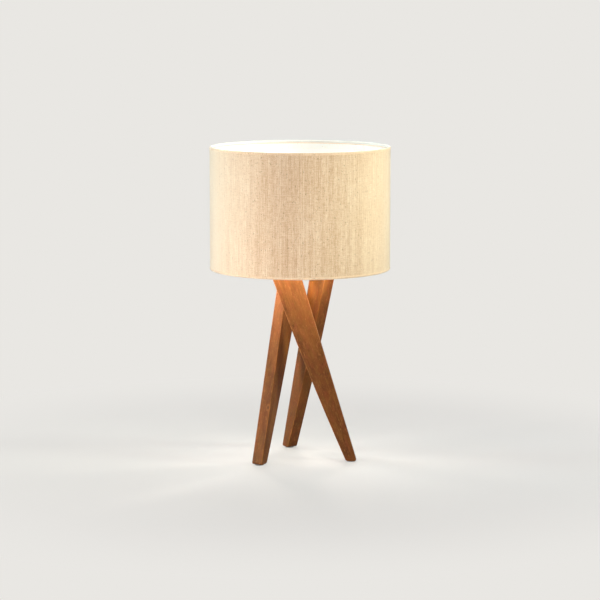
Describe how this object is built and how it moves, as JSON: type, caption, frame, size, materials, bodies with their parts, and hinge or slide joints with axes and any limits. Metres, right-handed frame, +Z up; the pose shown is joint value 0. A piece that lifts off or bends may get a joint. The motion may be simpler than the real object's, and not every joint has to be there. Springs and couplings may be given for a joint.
{
  "type": "tripod table lamp",
  "caption": "Table lamp with a fabric drum shade on three flat tapered wooden legs that whirl round a hidden block, with a screw lampholder and bulb inside.",
  "frame": {"origin": "on the floor, at the underside of the felt pads, under the axis of the shade", "axes": "+Z up; +X to the right and +Y away from the viewer as the lamp is pictured, with the front leg's broad face looking along -Y"},
  "size_m": [0.3, 0.3, 0.524],
  "materials": {
    "wood": "oiled, satin, long straight grain along each plank",
    "block_wood": "plain sanded",
    "screw_steel": "bright zinc plated",
    "felt": "pressed felt",
    "tube_brass": "machined thread",
    "bush_plastic": "moulded, satin",
    "holder_plastic": "moulded thermoplastic, satin white",
    "insert_ceramic": "pressed insulating insert, matte",
    "contact_brass": "stamped and folded",
    "shell_metal": "rolled thread, bright",
    "shade_fabric": "natural woven linen look with vertical slubs",
    "hem_fabric": "the shade's fabric rolled tight round the wire",
    "liner_plastic": "smooth translucent white film",
    "wire_white": "white powder coat",
    "bulb_glass": "clear blown glass",
    "bulb_black": "black pressed glass insulator",
    "bulb_solder": "soft solder, dull",
    "filament": "phosphor-coated light stick"
  },
  "bodies": {
    "base": {"leg_front": "wood", "leg_left": "wood", "leg_rear": "wood", "leg_screws": "screw_steel", "foot_pads": "felt", "centre_block": "block_wood", "threaded_tube": "tube_brass", "tube_nuts": "tube_brass", "tube_washers": "screw_steel", "cord_bush": "bush_plastic", "holder_cap": "holder_plastic", "holder_grub_screw": "screw_steel", "holder_insert": "insert_ceramic", "holder_terminals": "contact_brass", "holder_contact": "contact_brass", "holder_shell": "shell_metal", "holder_skirt": "holder_plastic", "shade_seat_ring": "holder_plastic"},
    "clamp_ring": {"shade_clamp_ring": "holder_plastic"},
    "shade": {"shade_fabric": "shade_fabric", "shade_liner": "liner_plastic", "shade_hem_top": "hem_fabric", "shade_hem_bottom": "hem_fabric", "shade_wire_top": "wire_white", "shade_wire_bottom": "wire_white", "shade_centre_ring": "wire_white", "shade_arms": "wire_white"},
    "bulb_contact": {"bulb_tip": "bulb_solder"},
    "bulb": {"bulb_insulator": "bulb_black", "bulb_screw_cap": "shell_metal", "bulb_glass": "bulb_glass", "bulb_stem": "bulb_glass", "bulb_filaments": "filament", "bulb_leads": "screw_steel"}
  },
  "joints": [
    {"name": "shade_turn", "type": "hinge", "parent": "base", "child": "shade", "pos_m": [0, 0, 0.3888], "axis": [0, 0, 1], "continuous": true},
    {"name": "clamp_ring_turn", "type": "hinge", "parent": "base", "child": "clamp_ring", "pos_m": [0, 0, 0.3954], "axis": [0, 0, 1], "range_deg": [0, 1080]},
    {"name": "bulb_rise", "type": "slide", "parent": "base", "child": "bulb_contact", "axis": [0, 0, 1], "range_m": [0, 0.0146]},
    {"name": "bulb_turn", "type": "hinge", "parent": "bulb_contact", "child": "bulb", "pos_m": [0, 0, 0.3738], "axis": [0, 0, 1], "range_deg": [0, 1440]}
  ],
  "couplings": [
    {"joint": "bulb_rise", "follows": "bulb_turn", "m_per_rad": 0.00057757}
  ]
}
